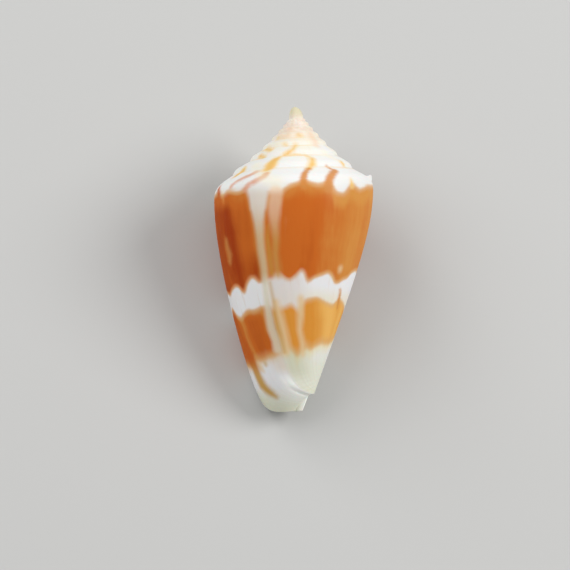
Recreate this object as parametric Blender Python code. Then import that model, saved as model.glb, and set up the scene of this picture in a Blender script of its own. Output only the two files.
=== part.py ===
"""Cone shell: one solid, lying on its underside as it comes to rest. Metres, +Z up.

The shell is drawn in its own frame first: the coil axis is Z, the tip of the apex is at the
origin and depth counts down from it. A place on the spiral is given in turns, which rise as the
shell grew: the left side of the back is turn 0, its middle -0.25 and its right side -0.5. Seen from the
apex the spiral runs clockwise. Down a whorl's side, share 0 is the widest place and share 1 is
the front end, where the whorl meets the pillar round which it is coiled.
"""

import math

import bmesh
import bpy
import numpy as np
from mathutils import Matrix

# Size of the whole shell
LENGTH = 0.0450
WIDEST_RADIUS = 0.0112

# Growth of the spiral for each turn, as a natural logarithm
RADIUS_GROWTH = 0.314
SLOWER_GROWTH = 0.285
BLUNT_APEX = 0.0012
SHOULDER_GROWTH = 0.225
SHARP_APEX = 0.0029
END_GROWTH = 0.230

# Depths below the apex: of the shoulder at turn 0, and of the front end at turn -0.5
SHOULDER_DEPTH = 0.01187
WIDEST_TO_SHOULDER = 1.145
END_DEPTH = 0.04197

# Small knob on the shoulder at the right side
KNOB_TURN = -0.50
KNOB_HEIGHT = 0.00055
KNOB_WIDTH = 0.028

# Shoulder: its radius as a share of the widest, and the step down to the next whorl's seam
SHOULDER_SHARE = 0.96
STEP_FACTOR = 0.0085
ROUND_EARLY = (0.20, 0.60)
ROUND_LAST = (0.45, 0.80)

# Side of a whorl: how fast it closes in and how full it is, at the right side and at the left
CLOSING = (1.046, 0.905)
FULLNESS = (0.295, 0.345)
LATE_BULGE = 0.0003
BULGE_POWER = 1.35

# Growth lines lag behind towards the front end, in turns
LAG_GENTLE = 0.075
LAG_STEEP = 0.230
GENTLE_POWER = 3
STEEP_POWER = 21

# Old lip where growth once rested, and how far its edge stands proud
REST_TURN = -0.165
REST_EDGE = 0.00014
REST_FADE = 0.05
NEW_ROUNDING = 0.75

# Pillar in the middle of the base
PILLAR_TIP_RADIUS = 0.00092
PILLAR_FLARE = 0.0068
PILLAR_SPREAD = 0.0164
PILLAR_FOOT = 0.04455
PILLAR_BLEND = 0.0006
PILLAR_TOP_SHARE = 0.40

# Wall, lip and the hollow behind the aperture
LIP_TURN = 0.10
HOLLOW_TURNS = 0.90
THINNED = 0.0022
THINNED_FROM = 0.30
WALL = 0.00075
LIP_WALL = 0.00050
LIP_THINNING = 0.06
CEILING = 0.00070
FLOOR = 0.00060
LIP_ROUND = 0.00015

# Apex, whose tip leans a little to the left
WHORLS = 8
FIRST_WHORL_START = 0.5
TIP_ASIDE = 0.00031
TIP_FADE = 0.0009

# Pose: the turn that faces the ground, and the angle of the coil axis to it
DOWN_TURN = 0.227
LEAN = math.radians(13.46)

# Mesh
COLUMNS = 40
RAMP_STATIONS = 2
ROUND_STATIONS = 2
DOME_RINGS = 3
SIDE_SHARES = (
    0.035, 0.09, 0.15, 0.22, 0.29, 0.36, 0.43, 0.50, 0.57, 0.64,
    0.71, 0.77, 0.83, 0.88, 0.92, 0.95, 0.97, 0.985, 1.0,
)
WELD = 2e-7

NAME = "cone_shell"
COLOUR = (0.80, 0.42, 0.16, 1.0)
ROUGHNESS = 0.28


def smooth(value):
    """Rises from 0 to 1 with level ends."""
    value = np.clip(value, 0.0, 1.0)
    return value * value * (3.0 - 2.0 * value)


def mix(low, high, share):
    return low + (high - low) * share


def widest_radius(turn):
    """Radius of the whorl where it is widest. Growth slows over the last half turn."""
    late = np.maximum(turn + 0.5, 0.0)
    early = np.minimum(turn + 0.5, 0.0)
    growth = RADIUS_GROWTH * (turn + 0.5) - SLOWER_GROWTH * late**2 + BLUNT_APEX * early**2
    return WIDEST_RADIUS * np.exp(growth)


def shoulder_depth(turn):
    return SHOULDER_DEPTH * np.exp(SHOULDER_GROWTH * turn - SHARP_APEX * turn**2)


def widest_depth(turn):
    return WIDEST_TO_SHOULDER * shoulder_depth(turn)


def end_depth(turn):
    return END_DEPTH * np.exp(END_GROWTH * (turn + 0.5))


def depth_at(turn, share):
    return mix(widest_depth(turn), end_depth(turn), share)


def share_at(turn, depth):
    return (depth - widest_depth(turn)) / (end_depth(turn) - widest_depth(turn))


def lag(share):
    """How many turns a growth line has fallen behind at this share of the side."""
    share = np.clip(share, 0.0, 1.0)
    return LAG_GENTLE * share**GENTLE_POWER + LAG_STEEP * share**STEEP_POWER


def pillar_radius(depth):
    above = PILLAR_FOOT - depth
    return PILLAR_TIP_RADIUS + PILLAR_FLARE * (1.0 - np.exp(-above / PILLAR_SPREAD))


def side_radius(turn, share, grown):
    """Radius of the side of a whorl. The growth line through the place was laid down at turn grown."""
    lateness = smooth(2.0 * (turn + 0.5))
    closing = mix(*CLOSING, lateness)
    fullness = mix(*FULLNESS, lateness)
    below = np.maximum(share, 0.0)
    taper = closing * (np.sqrt(below**2 + fullness**2) - fullness)
    above = np.minimum(share, 0.0) / share_at(turn, shoulder_depth(turn))
    neck = (1.0 - SHOULDER_SHARE) * above**2
    bulge = LATE_BULGE * lateness * np.sin(math.pi * np.minimum(below, 1.0) ** BULGE_POWER) ** 2
    plain = widest_radius(turn) * (1.0 - taper - neck) + bulge

    reach = smooth(share / PILLAR_TOP_SHARE)
    pillar = reach * pillar_radius(depth_at(turn, share))
    proud = 0.5 * (plain - pillar + np.hypot(plain - pillar, reach * PILLAR_BLEND))
    rounding = np.clip((share - NEW_ROUNDING) / (1.0 - NEW_ROUNDING), 0.0, 1.0)
    tucked = 1.0 - np.sqrt(1.0 - rounding**3)
    proud = np.where(grown > REST_TURN, proud * (1.0 - tucked), proud)
    edge = REST_EDGE * np.exp(-np.abs(REST_TURN - grown) / REST_FADE)
    edge = np.where((grown <= REST_TURN) & (share > 0.0), edge * smooth(4.0 * share), 0.0)
    return pillar + proud + edge


def foot_law(turn):
    """Radius and depth where the next whorl's seam lies on this one."""
    depth = shoulder_depth(turn) + STEP_FACTOR * np.sqrt(SHOULDER_SHARE * widest_radius(turn))
    return side_radius(turn, share_at(turn, depth), turn), depth


def start(turn):
    """The first whorl widens from nothing at the apex."""
    first = LIP_TURN - WHORLS
    return np.clip((turn - first) / FIRST_WHORL_START, 0.0, 1.0)


def foot(turn):
    inner, outer = foot_law(turn - 1.0), foot_law(turn)
    share = start(turn)
    return tuple(mix(a, b, share) for a, b in zip(inner, outer))


def seam(turn):
    """Radius and depth of the seam at the whorl's inner edge, which is the foot of the whorl before."""
    first = LIP_TURN - WHORLS
    return tuple(
        np.where(turn < first + 1.0, law, grown)
        for law, grown in zip(foot_law(turn - 1.0), foot(turn - 1.0))
    )


def upper_section(turn):
    """Radius and depth of the stations from the seam over the ramp and the shoulder to the foot."""
    inner, outer = seam(turn), foot(turn)
    law = (SHOULDER_SHARE * widest_radius(turn), shoulder_depth(turn))
    corner = tuple(mix(a, b, start(turn)) for a, b in zip(inner, law))
    lateness = smooth(2.0 * (turn + 0.5))
    on_ramp = mix(ROUND_EARLY[0], ROUND_LAST[0], lateness)
    on_face = mix(ROUND_EARLY[1], ROUND_LAST[1], lateness)
    bend_in = tuple(mix(c, a, on_ramp) for c, a in zip(corner, inner))
    bend_out = tuple(mix(c, b, on_face) for c, b in zip(corner, outer))

    stations = []
    for i in range(RAMP_STATIONS):
        share = i / RAMP_STATIONS
        stations.append(tuple(mix(a, b, share) for a, b in zip(inner, bend_in)))
    knob = KNOB_HEIGHT * np.exp(-(((turn - KNOB_TURN) / KNOB_WIDTH) ** 2))
    for i in range(ROUND_STATIONS + 1):
        share = i / ROUND_STATIONS
        radius, depth = (
            mix(mix(a, c, share), mix(c, b, share), share)
            for a, c, b in zip(bend_in, corner, bend_out)
        )
        raised = knob * math.sin(math.pi * share)
        stations.append((radius + 0.5 * raised, depth - raised))
    stations.append(outer)
    return stations


def ceiling_share(turn):
    """Share of the side, above the widest place, where the next whorl's hollow begins."""
    depth = foot_law(turn)[1] + CEILING * np.exp(RADIUS_GROWTH * turn)
    return share_at(turn, depth)


def side_stations(turn):
    """(turn, radius, depth) of the stations along one growth line, from the foot to the front end."""
    radius, depth = foot(turn)
    stations = [(turn, radius, depth)]
    for share in (ceiling_share(turn),) + SIDE_SHARES:
        share = share + 0.0 * turn
        place = turn - lag(share)
        stations.append((place, side_radius(place, share, turn), depth_at(place, share)))
    return stations


def end_turn(turn):
    """Where round the axis the growth line of this turn meets the pillar."""
    return turn - lag(1.0)


def wall(turn):
    """Thickness of the wall, which thins at the lip."""
    full = WALL * np.exp(RADIUS_GROWTH * np.minimum(turn, 0.0))
    return mix(LIP_WALL, full, smooth((LIP_TURN - turn) / LIP_THINNING))


def place(turn, radius, depth):
    """Points in the shell's own frame."""
    angle = math.pi - 2.0 * math.pi * turn
    depth = depth + 0.0 * radius
    aside = TIP_ASIDE * np.exp(-depth / TIP_FADE)
    return np.stack([radius * np.cos(angle) - aside, radius * np.sin(angle), -depth], -1)


def rows(stations):
    """One row of points for each station."""
    return np.stack([place(*station) for station in stations])


def upper_rows(turns):
    return rows([(turns, radius, depth) for radius, depth in upper_section(turns)])


def side_rows(turns):
    return rows(side_stations(turns))


def pillar_fractions():
    """Shares of the way from the front end down to the rim of the tip. The last but one is the hollow's floor."""
    rim = end_depth(end_turn(LIP_TURN))
    first = end_depth(end_turn(LIP_TURN - 1.0))
    floor = (rim - FLOOR - first) / (rim - first)
    count = RAMP_STATIONS + ROUND_STATIONS + 2
    return [floor * i / count for i in range(count + 1)] + [1.0]


def pillar_rows(turns):
    """From each growth line's front end down the pillar to the tip."""
    rim = end_depth(end_turn(LIP_TURN))
    turns_there = end_turn(turns)
    first = end_depth(turns_there)
    stations = [side_stations(turns)[-1]]
    for fraction in pillar_fractions()[1:]:
        depth = mix(first, rim, fraction)
        stations.append((turns_there, pillar_radius(depth), depth))
    tip = 0.0 * turns
    stations.append((turns_there, tip, tip + LENGTH))
    return rows(stations)


def inner_wall_rows(turns):
    """The hollow's side of the inner wall: the whorl before, then the pillar down to the floor.

    The animal thins this wall from inside, out of sight of the aperture.
    """
    before = turns - 1.0
    turns_there = end_turn(before)
    first = end_depth(turns_there)
    floor = end_depth(end_turn(turns)) - FLOOR
    fractions = pillar_fractions()[1:-1]
    thinned = THINNED * np.exp(RADIUS_GROWTH * turns) * smooth((LIP_TURN - turns) / THINNED_FROM)
    ceiling, *side = side_stations(before)[1:]
    stations = [ceiling]
    for share, (turn, radius, depth) in zip(SIDE_SHARES, side):
        stations.append((turn, radius - thinned * math.sin(math.pi * share), depth))
    for fraction in fractions:
        depth = mix(first, floor, fraction / fractions[-1])
        stations.append((turns_there, pillar_radius(depth), depth))
    return rows(stations)


def outer_wall_rows(turns):
    """The hollow's side of the outer wall, a wall's thickness inside each station of the surface."""
    thick = wall(turns)
    stations = [side_stations(turns - 1.0)[1]]
    upper = upper_section(turns)
    for i, (radius, depth) in enumerate(upper[1:], start=1):
        slope = min(i / (len(upper) - 1), 1.0) * 0.5 * math.pi
        inward = mix(0.5, 1.0, math.sin(slope))
        under = mix(1.0, 0.15, 1.0 - math.cos(slope))
        stations.append((turns, radius - inward * thick, depth + under * CEILING))
    side = side_stations(turns)
    for share, (turn, radius, depth) in zip((None,) + SIDE_SHARES, side[1:]):
        share = ceiling_share(turns) if share is None else share
        raised = depth - FLOOR * smooth((share - 0.5) / 0.5)
        pillar = pillar_radius(raised)
        gap = np.maximum(radius - thick - pillar, 0.35 * (radius - pillar))
        last = smooth((share - 0.9) / 0.1)
        stations.append((turn, pillar + gap * (1.0 - last) + 0.0 * share, raised))
    return rows(stations)


def lip_rows(turns):
    """The edge of the lip, rounded, from the surface to the hollow."""
    outer = np.concatenate([upper_rows(turns), side_rows(turns)[1:]])[:, -1]
    inner = outer_wall_rows(turns)[:, -1]
    middle = 0.5 * (outer + inner)
    ahead = np.stack([middle[:, 1], -middle[:, 0], 0.0 * middle[:, 0]], -1)
    ahead /= np.linalg.norm(ahead, axis=1, keepdims=True)
    middle = middle + LIP_ROUND * ahead
    middle[0], middle[-1] = outer[0], outer[-1]
    return np.stack([outer, middle, inner])


def dome_rows(turns):
    """The tip of the apex, over the ring that the first seam makes."""
    radius, depth = seam(turns)
    stations = []
    for ring in range(DOME_RINGS + 1):
        angle = 0.5 * math.pi * ring / DOME_RINGS
        stations.append((turns, radius * math.cos(angle), depth * (1.0 - math.sin(angle))))
    return rows(stations)


def add_patch(mesh, points):
    """A grid of faces over rows of points. A face whose corners coincide is dropped by the weld."""
    grid = [[mesh.verts.new(point) for point in row] for row in points]
    for upper, lower in zip(grid, grid[1:]):
        for i in range(len(upper) - 1):
            mesh.faces.new((upper[i], upper[i + 1], lower[i + 1], lower[i]))


def shell_mesh():
    """The closed surface of the shell, as patches whose edges meet point for point."""
    step = 1.0 / COLUMNS
    all_turns = LIP_TURN - step * np.arange(WHORLS * COLUMNS, -1, -1)
    last_whorl = all_turns[-COLUMNS - 1 :]
    first_whorl = all_turns[: COLUMNS + 1]
    hollow = all_turns[-round(HOLLOW_TURNS * COLUMNS) - 1 :]
    outer_wall, inner_wall = outer_wall_rows(hollow), inner_wall_rows(hollow)

    mesh = bmesh.new()
    add_patch(mesh, dome_rows(first_whorl))
    add_patch(mesh, upper_rows(all_turns))
    add_patch(mesh, side_rows(last_whorl))
    add_patch(mesh, pillar_rows(last_whorl))
    add_patch(mesh, outer_wall)
    add_patch(mesh, inner_wall)
    add_patch(mesh, lip_rows(hollow))
    add_patch(mesh, np.stack([outer_wall[:, 0], inner_wall[:, 0]]))
    bmesh.ops.remove_doubles(mesh, verts=mesh.verts, dist=WELD)
    bmesh.ops.dissolve_degenerate(mesh, edges=mesh.edges, dist=WELD)
    bmesh.ops.recalc_face_normals(mesh, faces=mesh.faces)
    return mesh


def shell_material():
    material = bpy.data.materials.new("shell")
    material.use_nodes = True
    surface = material.node_tree.nodes["Principled BSDF"]
    surface.inputs["Base Color"].default_value = COLOUR
    surface.inputs["Roughness"].default_value = ROUGHNESS
    return material


def lay_down(shell):
    """Turns the shell onto its underside, apex towards +Y, and sets it on the ground over the origin."""
    down = math.pi - 2.0 * math.pi * DOWN_TURN
    shell.rotation_mode = "XYZ"
    shell.rotation_euler = (LEAN - 0.5 * math.pi, 0.0, 0.0)
    shell.data.transform(Matrix.Rotation(0.5 * math.pi - down, 4, "Z"))
    bpy.context.view_layer.update()
    corners = np.array([shell.matrix_world @ vertex.co for vertex in shell.data.vertices])
    low, high = corners.min(axis=0), corners.max(axis=0)
    middle = 0.5 * (low + high)
    shell.location = (-middle[0], -middle[1], -low[2])


def main():
    for thing in list(bpy.data.objects):
        bpy.data.objects.remove(thing)
    data = bpy.data.meshes.new(NAME)
    surface = shell_mesh()
    surface.to_mesh(data)
    surface.free()
    data.shade_smooth()
    shell = bpy.data.objects.new(NAME, data)
    data.materials.append(shell_material())
    collection = bpy.data.collections.new("cone shell")
    bpy.context.scene.collection.children.link(collection)
    collection.objects.link(shell)
    lay_down(shell)


if __name__ == "__main__":
    main()
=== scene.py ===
"""Looks of a cone shell that lies on its underside: its fine surface, its colours and the studio.

The shell is drawn in its own frame first: the coil axis is Z, the tip of the apex is at the
origin and depth counts down from it. A place on the spiral is given in turns, which rise as the
shell grew: the left side of the back is turn 0, its middle -0.25 and its right side -0.5.
"""

import math
from collections import namedtuple
from types import SimpleNamespace

import bmesh
import bpy
import numpy as np
from bpy.props import FloatProperty, FloatVectorProperty, IntProperty, PointerProperty
from mathutils import Matrix, Vector


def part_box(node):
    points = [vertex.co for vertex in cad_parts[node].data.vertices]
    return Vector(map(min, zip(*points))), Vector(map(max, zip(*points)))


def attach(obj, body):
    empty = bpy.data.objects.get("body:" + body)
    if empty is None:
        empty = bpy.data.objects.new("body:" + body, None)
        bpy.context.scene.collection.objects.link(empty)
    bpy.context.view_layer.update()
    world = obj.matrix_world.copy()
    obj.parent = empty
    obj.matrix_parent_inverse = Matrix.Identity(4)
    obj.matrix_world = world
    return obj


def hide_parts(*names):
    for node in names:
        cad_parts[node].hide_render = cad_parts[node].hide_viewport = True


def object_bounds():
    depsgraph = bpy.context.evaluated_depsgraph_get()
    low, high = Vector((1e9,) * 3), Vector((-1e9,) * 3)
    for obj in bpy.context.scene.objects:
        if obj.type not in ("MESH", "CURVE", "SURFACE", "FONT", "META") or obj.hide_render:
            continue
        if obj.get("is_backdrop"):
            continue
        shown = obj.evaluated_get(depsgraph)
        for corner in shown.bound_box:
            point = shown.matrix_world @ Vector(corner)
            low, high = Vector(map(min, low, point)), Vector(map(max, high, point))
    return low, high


bl_info = {
    "name": "Cone Shell",
    "version": (1, 0, 0),
    "blender": (4, 5, 0),
    "location": "3D View > Sidebar > Shell",
    "description": "Builds a cone shell with its colours, and a plain studio round it",
    "category": "Object",
}

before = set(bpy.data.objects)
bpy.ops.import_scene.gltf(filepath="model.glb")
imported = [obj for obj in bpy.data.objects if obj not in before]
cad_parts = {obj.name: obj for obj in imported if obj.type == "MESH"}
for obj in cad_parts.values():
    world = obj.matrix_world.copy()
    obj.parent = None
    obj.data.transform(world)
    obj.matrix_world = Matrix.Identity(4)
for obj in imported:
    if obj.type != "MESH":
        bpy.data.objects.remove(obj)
CAD_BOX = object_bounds()
NODE = "cone_shell"
BODY = "root"
MM = 0.001

# The right and the left side of the last whorl's back
RIGHT_TURN = -0.5
LEFT_TURN = 0.0

# Size of the whole shell: its length, and its widest radius at the right side
LENGTH = 0.0450
WIDEST_RADIUS = 0.0112

# Growth of the spiral for each turn, as a natural logarithm
RADIUS_GROWTH = 0.314
SLOWER_GROWTH = 0.285
BLUNT_APEX = 0.0012
SHOULDER_GROWTH = 0.225
SHARP_APEX = 0.0029
END_GROWTH = 0.230

# Depths below the apex: of the shoulder at the left side, and of the front end at the right
SHOULDER_DEPTH = 0.01187
WIDEST_TO_SHOULDER = 1.145
END_DEPTH = 0.04197

# Small knob on the shoulder at the right side
KNOB_TURN = RIGHT_TURN
KNOB_HEIGHT = 0.00055
KNOB_WIDTH = 0.028

# Shoulder: its radius as a share of the widest, the step down to the next whorl's seam, and the shares
# of the ramp and of the face that its rounding takes up, on early whorls and on the last
SHOULDER_SHARE = 0.96
STEP_FACTOR = 0.0085
ROUND_EARLY = (0.20, 0.60)
ROUND_LAST = (0.45, 0.80)

# Side of a whorl: how fast it closes in and how full it is, at the right side and at the left
CLOSING = (1.046, 0.905)
FULLNESS = (0.295, 0.345)
LATE_BULGE = 0.0003
BULGE_POWER = 1.35

# Growth lines lag behind towards the front end, in turns
LAG_GENTLE = 0.075
LAG_STEEP = 0.230
GENTLE_POWER = 3
STEEP_POWER = 21

# Old lip where growth once rested: how far its edge stands proud, the turns over which that fades, and
# the shares of the side where the edge starts and where most of it is lost
REST_TURN = -0.165
REST_EDGE = 0.00014
REST_FADE = 0.05
REST_EDGE_START = (0.0, 0.25)
REST_EDGE_LOST = (0.55, 0.80)
REST_EDGE_LOSS = 0.8

# Newer growth rounds off from this share of the side on, and stands back from the old lip within these
# turns, the fewer the nearer it is to the front end
NEW_ROUNDING = 0.75
NEW_SPREAD = (0.060, 0.026)
NEW_SPREAD_SHARES = (0.86, 0.96)

# Pillar in the middle of the base
PILLAR_TIP_RADIUS = 0.00092
PILLAR_FLARE = 0.0068
PILLAR_SPREAD = 0.0164
PILLAR_FOOT = 0.04455
PILLAR_BLEND = 0.0006
PILLAR_TOP_SHARE = 0.40

# Wall, lip and the hollow behind the aperture
LIP_TURN = 0.10
HOLLOW_TURNS = 0.90
THINNED = 0.0022
THINNED_FROM = 0.30
WALL = 0.00075
LIP_WALL = 0.00050
LIP_THINNING = 0.06
CEILING = 0.00070
CEILING_INWARD = (0.5, 1.0)
CEILING_UNDER = (1.0, 0.15)
FLOOR = 0.00060
NARROWEST_SHARE = 0.35
HOLLOW_CLOSES = 0.9
LIP_ROUND = 0.00015

# Apex, whose tip leans a little to the left
WHORLS = 8
FIRST_TURN = LIP_TURN - WHORLS
FIRST_WHORL_START = 0.5
TIP_ASIDE = 0.00031
TIP_FADE = 0.0009

# Pose: the turn that faces the ground, and the angle of the coil axis to it
DOWN_TURN = 0.227
LEAN = math.radians(13.46)

# Mesh
RAMP_STATIONS = 8
ROUND_STATIONS = 8
DOME_RINGS = 8
SIDE_STATIONS = 140
SIDE_CROWDING = 1.6
HOLLOW_COLUMNS = 48
HOLLOW_CROWDING = 1.8
WELD = 2e-7

# Low relief. A place along a section is 1 at the shoulder, 2 at the foot and 3 at the front end. The
# scar begins this many mm outside its mark
NODULES = 15
NODULES_FADE = (-4.6, -2.6)
NODULE_WIDTH = 0.35
UNEVEN = 0.00003
RIDGES = 46
RIDGES_START = (2.74, 2.94)
RIDGES_END = (3.00, 2.96)
NEW_RIDGES = 0.3
SCAR_EDGE = 0.6

# Waves in each turn of the growth lines, of the unevenness, of the ridges and of the hidden bands
GROWTH_WAVES = (31.0, 43.0, 57.0, 19.0)
UNEVEN_WAVES = (2.3, 3.7)
RIDGE_WAVES = (3.1, 5.3)
EDGE_WAVES = (9.0, 14.0, 23.0)
EDGE_WAVE_SHARE = 0.012

# How the shell is seen from above: how far its apex leans away, then the picture's middle, in mm right
# of the axis and below the apex, and its width
VIEW_LEAN = math.radians(4.5)
PICTURE_MIDDLE = (-1.77, 26.26)
PICTURE_WIDTH = 0.084075
CAMERA_DISTANCE = 0.90
CLIP_START = 0.01
SENSOR = 36.0

# A mark's end is put on the highest point seen within this distance of its place. A place outside
# all marks counts as at most so many mm outside
NEAREST = 0.00025
FAR_OUTSIDE = -5.0

# Studio: the floor, where the lights aim, and each light's place and the width of its disk
FLOOR_RADIUS = 3.0
FLOOR_SIDES = 96
FLOOR_ROUGHNESS = 0.85
AIM = (0.0, 0.0, 0.01)
LIGHTS = {
    "key": ((0.42, 0.06, 0.40), 0.34),
    "fill": ((-0.36, 0.10, 0.38), 0.40),
    "back": ((-0.32, 0.40, 0.30), 0.30),
}

# Cover over which a band's edge is drawn, once growth noise has made it ragged
EDGE_COVER = (0.06, 0.94)
EDGE_NOISE = 0.6

# Fine relief that only the light shows, translucency, and how much duller the spire is
BUMP_STRENGTH = 0.35
BUMP_HEIGHT = 0.00004
TRANSLUCENCY = 0.08
TRANSLUCENT_DEPTH = 0.0008
DULLER_SPIRE = 0.14

# Marks. Each is a run of (right of the axis, below the apex, width) as seen from above, in mm
MARKS = {
    "ochre": (
        ((0.3, 4.0, 0.7), (0.5, 4.1, 0.7)),
        ((-0.25, 5.6, 0.7), (-0.7, 6.2, 0.7), (-1.4, 6.8, 0.8), (-1.9, 7.1, 0.6)),
        ((-1.8, 7.2, 0.35), (-0.3, 7.0, 0.25), (1.2, 7.1, 0.25), (2.2, 7.5, 0.35)),
        ((-1.95, 5.5, 0.4), (-1.7, 5.6, 0.4)),
        ((-3.0, 4.5, 0.5), (-2.9, 4.7, 0.4)),
        ((-4.6, 6.1, 1.0), (-4.0, 6.3, 0.9)),
        ((-5.5, 7.2, 0.9), (-5.0, 7.4, 0.8)),
        ((-9.1, 10.1, 0.9), (-8.5, 9.7, 1.3), (-7.9, 9.2, 0.9)),
        ((-2.7, 7.4, 0.6), (-3.2, 7.7, 1.3), (-3.9, 8.5, 1.7), (-4.5, 9.3, 1.5)),
        ((-4.5, 9.7, 0.9), (-4.9, 10.2, 0.7)),
        ((2.3, 7.7, 0.8), (2.3, 8.5, 0.9), (1.8, 9.1, 0.8)),
        ((6.7, 8.1, 0.6), (7.0, 8.6, 0.5)),
        ((8.0, 10.8, 0.1), (8.1, 11.2, 0.5), (8.2, 11.7, 0.7)),
    ),
    "red": (
        ((1.8, 9.1, 0.6), (1.2, 9.8, 0.8), (0.9, 10.6, 0.9), (0.9, 11.8, 1.1)),
        ((4.3, 8.7, 0.2), (5.0, 9.1, 0.5), (6.0, 9.5, 0.2)),
        ((5.6, 9.4, 1.0), (5.2, 9.9, 1.1), (4.7, 10.8, 1.2), (4.6, 11.9, 1.3)),
        ((6.5, 26.9, 0.2), (6.4, 27.6, 0.4), (6.28, 28.4, 0.5), (6.12, 29.2, 0.3), (6.02, 29.9, 0.0)),
    ),
    "rose": (
        ((-4.5, 9.8, 0.8), (-5.0, 10.3, 0.9), (-6.2, 10.9, 0.9), (-7.2, 11.5, 0.6), (-7.7, 12.4, 0.7)),
        ((-6.1, 9.6, 1.0), (-7.1, 10.1, 0.9), (-8.2, 10.6, 0.7), (-9.2, 11.2, 0.4), (-9.8, 12.1, 0.5)),
    ),
    "pale": (
        ((-6.0, 11.6, 3.4), (-5.8, 13.0, 3.1), (-5.75, 14.5, 2.5), (-5.65, 15.9, 1.9), (-5.55, 17.4, 1.4),
         (-5.4, 19.6, 1.15), (-5.15, 21.8, 1.1), (-4.9, 24.0, 1.05), (-4.7, 26.2, 1.1), (-4.5, 28.5, 1.1),
         (-4.2, 30.7, 1.2), (-3.7, 32.9, 1.2), (-3.25, 34.4, 1.2), (-2.95, 35.8, 1.2)),
    ),
    "brown": (
        ((-3.9, 26.1, 0.3), (-3.6, 28.5, 0.35), (-3.25, 30.7, 0.4), (-2.8, 32.6, 0.45), (-2.4, 34.4, 0.4),
         (-1.9, 36.1, 0.2)),
        ((-4.3, 17.5, 0.0), (-4.2, 20.0, 0.4), (-4.0, 22.8, 0.7), (-3.85, 24.5, 0.6)),
        ((-4.8, 37.8, 0.4), (-4.7, 38.0, 0.4)),
    ),
    "streak": (
        ((-7.7, 34.9, 0.4), (-7.4, 36.0, 1.0), (-6.9, 37.3, 1.3), (-6.35, 38.5, 1.2), (-5.9, 39.7, 1.1),
         (-5.3, 40.9, 1.1), (-4.6, 41.7, 0.8), (-3.9, 42.3, 0.5), (-3.2, 42.8, 0.0)),
        ((-11.65, 12.0, 0.5), (-11.6, 13.1, 0.6)),
    ),
    "spot": (
        ((6.45, 23.9, 0.6), (6.5, 24.2, 0.5)),
    ),
    "scar": (
        ((-10.6, 19.9, 0.5), (-10.4, 20.8, 0.8), (-10.15, 21.7, 0.9), (-10.0, 22.8, 0.5)),
        ((-11.05, 13.0, 0.3), (-10.95, 14.0, 0.1)),
    ),
    "blush": (
        ((2.1, 3.7, 0.9), (2.5, 4.6, 1.1), (2.9, 5.6, 0.8)),
        ((-2.2, 4.4, 0.9), (-1.6, 4.1, 0.8)),
        ((-1.4, 3.0, 0.8), (-1.0, 3.2, 0.8)),
    ),
    "ivory": (
        ((-6.2, 8.6, 1.2), (-5.0, 10.4, 1.4), (-3.0, 11.4, 1.6)),
        ((4.0, 6.6, 1.0), (5.6, 7.6, 0.8)),
    ),
    "deep": (
        ((3.8, 13.1, 0.7), (3.4, 15.5, 0.8), (2.5, 18.9, 0.8), (1.9, 21.8, 0.7), (1.3, 24.3, 0.5)),
        ((-10.3, 15.5, 0.2), (-9.9, 18.9, 0.3), (-9.2, 22.6, 0.4), (-8.6, 25.5, 0.5), (-8.0, 27.0, 0.3)),
        ((-5.9, 22.3, 0.2), (-5.8, 24.0, 0.5), (-5.9, 25.5, 0.2)),
    ),
    "light": (
        ((-8.5, 31.2, 1.3), (-7.9, 32.6, 0.9), (-7.4, 34.2, 0.8), (-6.9, 35.3, 0.7), (-6.4, 36.3, 0.7)),
        ((-7.6, 30.6, 0.1), (-5.2, 30.5, 0.1)),
        ((5.0, 29.2, 2.2), (5.0, 31.0, 1.6), (4.6, 33.6, 1.2)),
        ((7.0, 29.0, 0.3), (6.5, 30.5, 0.3), (6.0, 32.0, 0.3), (5.4, 34.0, 0.3)),
    ),
    "tan": (
        ((-3.1, 12.5, 1.9), (-3.4, 14.5, 2.0), (-3.45, 15.9, 1.7), (-3.4, 17.4, 1.3), (-3.3, 19.6, 0.9),
         (-3.15, 21.8, 0.9), (-3.0, 23.8, 0.9), (-2.9, 24.8, 0.8)),
        ((-3.1, 28.9, 0.9), (-2.75, 31.1, 1.15), (-2.4, 32.9, 1.15), (-2.0, 34.7, 1.1), (-1.7, 36.1, 1.0)),
        ((0.6, 28.5, 0.8), (0.5, 30.7, 0.8), (0.6, 32.9, 0.7), (0.8, 35.1, 0.7), (0.95, 36.6, 0.5)),
        ((-5.9, 37.9, 0.5), (-5.5, 38.4, 0.6), (-5.2, 39.0, 0.2)),
    ),
}

# The numbers that each vector kept at the mesh's corners holds
VECTORS = {
    "growth": ("turn", "grown", "depth"),
    "bands": ("upper", "lower", "tone"),
    "edges": ("under_top", "under_foot", "spare"),
    "parts": ("along", "inside", "pale"),
    "flames": ("ochre", "red", "rose"),
    "lines": ("brown", "streak", "scar"),
    "specks": ("spot", "blush", "ivory"),
    "tints": ("deep", "light", "tan"),
}

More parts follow.
